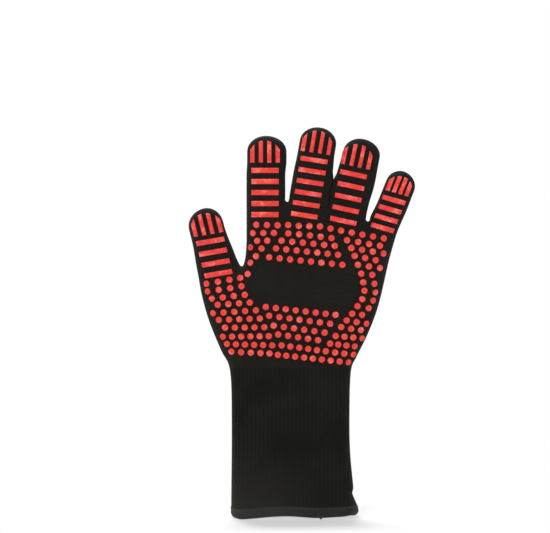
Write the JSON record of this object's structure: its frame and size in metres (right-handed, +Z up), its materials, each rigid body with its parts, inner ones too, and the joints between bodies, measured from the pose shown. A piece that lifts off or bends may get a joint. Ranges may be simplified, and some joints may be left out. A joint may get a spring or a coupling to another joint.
{
  "type": "heat resistant glove",
  "caption": "Long-cuffed heat resistant knitted glove with raised silicone grip bars on the fingers and grip dots on the palm, bending at the wrist and fingers.",
  "frame": {"origin": "middle of the hand opening, in the plane of the hem's lower edge", "axes": "+Z up from the hem to the fingertips, -Y out of the palm side, -X to the thumb's side"},
  "size_m": [0.2037, 0.0278, 0.3533],
  "materials": {
    "outer_knit": "matte knit",
    "hem_tape": "matte knit",
    "lining": "matte cotton",
    "silicone": "satin",
    "thread": "matte"
  },
  "bodies": {
    "cuff": {"cuff_shell": "outer_knit", "cuff_lining": "lining", "cuff_hem": "hem_tape", "hem_stitching": "thread"},
    "hand": {"palm_shell": "outer_knit", "palm_lining": "lining", "palm_dots": "silicone", "back_dots": "silicone", "palm_root_bars": "silicone", "back_root_bars": "silicone"},
    "thumb_base": {"thumb_base_shell": "outer_knit", "thumb_base_lining": "lining", "thumb_base_bars": "silicone"},
    "thumb_tip": {"thumb_tip_shell": "outer_knit", "thumb_tip_lining": "lining", "thumb_tip_bars": "silicone"},
    "index_base": {"index_base_shell": "outer_knit", "index_base_lining": "lining", "index_base_bars": "silicone"},
    "index_tip": {"index_tip_shell": "outer_knit", "index_tip_lining": "lining", "index_tip_bars": "silicone"},
    "middle_base": {"middle_base_shell": "outer_knit", "middle_base_lining": "lining", "middle_base_bars": "silicone"},
    "middle_tip": {"middle_tip_shell": "outer_knit", "middle_tip_lining": "lining", "middle_tip_bars": "silicone"},
    "ring_base": {"ring_base_shell": "outer_knit", "ring_base_lining": "lining", "ring_base_bars": "silicone"},
    "ring_tip": {"ring_tip_shell": "outer_knit", "ring_tip_lining": "lining", "ring_tip_bars": "silicone"},
    "little_base": {"little_base_shell": "outer_knit", "little_base_lining": "lining", "little_base_bars": "silicone"},
    "little_tip": {"little_tip_shell": "outer_knit", "little_tip_lining": "lining", "little_tip_bars": "silicone"}
  },
  "joints": [
    {"name": "wrist_bend", "type": "hinge", "parent": "cuff", "child": "hand", "pos_m": [0, 0, 0.134], "axis": [1, 0, 0], "range_deg": [-30, 30], "stiffness_Nm_per_rad": 0.35},
    {"name": "thumb_root_bend", "type": "hinge", "parent": "hand", "child": "thumb_base", "pos_m": [-0.0645, -0.0062, 0.226], "axis": [0.9703, 0, 0.2419], "range_deg": [0, 60], "stiffness_Nm_per_rad": 0.02},
    {"name": "thumb_middle_bend", "type": "hinge", "parent": "thumb_base", "child": "thumb_tip", "pos_m": [-0.06934, -0.0062, 0.24541], "axis": [0.9703, 0, 0.2419], "range_deg": [0, 60], "stiffness_Nm_per_rad": 0.012},
    {"name": "index_root_bend", "type": "hinge", "parent": "hand", "child": "index_base", "pos_m": [-0.0215, -0.0062, 0.289], "axis": [1, 0, 0], "range_deg": [0, 60], "stiffness_Nm_per_rad": 0.02},
    {"name": "index_middle_bend", "type": "hinge", "parent": "index_base", "child": "index_tip", "pos_m": [-0.0215, -0.0062, 0.309], "axis": [1, 0, 0], "range_deg": [0, 60], "stiffness_Nm_per_rad": 0.012},
    {"name": "middle_root_bend", "type": "hinge", "parent": "hand", "child": "middle_base", "pos_m": [0.0165, -0.0062, 0.288], "axis": [0.9848, 0, -0.1736], "range_deg": [0, 60], "stiffness_Nm_per_rad": 0.02},
    {"name": "middle_middle_bend", "type": "hinge", "parent": "middle_base", "child": "middle_tip", "pos_m": [0.01997, -0.0062, 0.3077], "axis": [0.9848, 0, -0.1736], "range_deg": [0, 60], "stiffness_Nm_per_rad": 0.012},
    {"name": "ring_root_bend", "type": "hinge", "parent": "hand", "child": "ring_base", "pos_m": [0.0535, -0.0062, 0.284], "axis": [0.9763, 0, -0.2164], "range_deg": [0, 60], "stiffness_Nm_per_rad": 0.02},
    {"name": "ring_middle_bend", "type": "hinge", "parent": "ring_base", "child": "ring_tip", "pos_m": [0.05805, -0.0062, 0.3045], "axis": [0.9763, 0, -0.2164], "range_deg": [0, 60], "stiffness_Nm_per_rad": 0.012},
    {"name": "little_root_bend", "type": "hinge", "parent": "hand", "child": "little_base", "pos_m": [0.084, -0.0062, 0.2655], "axis": [0.9272, 0, -0.3746], "range_deg": [0, 60], "stiffness_Nm_per_rad": 0.02},
    {"name": "little_middle_bend", "type": "hinge", "parent": "little_base", "child": "little_tip", "pos_m": [0.09074, -0.0062, 0.28219], "axis": [0.9272, 0, -0.3746], "range_deg": [0, 60], "stiffness_Nm_per_rad": 0.012}
  ]
}
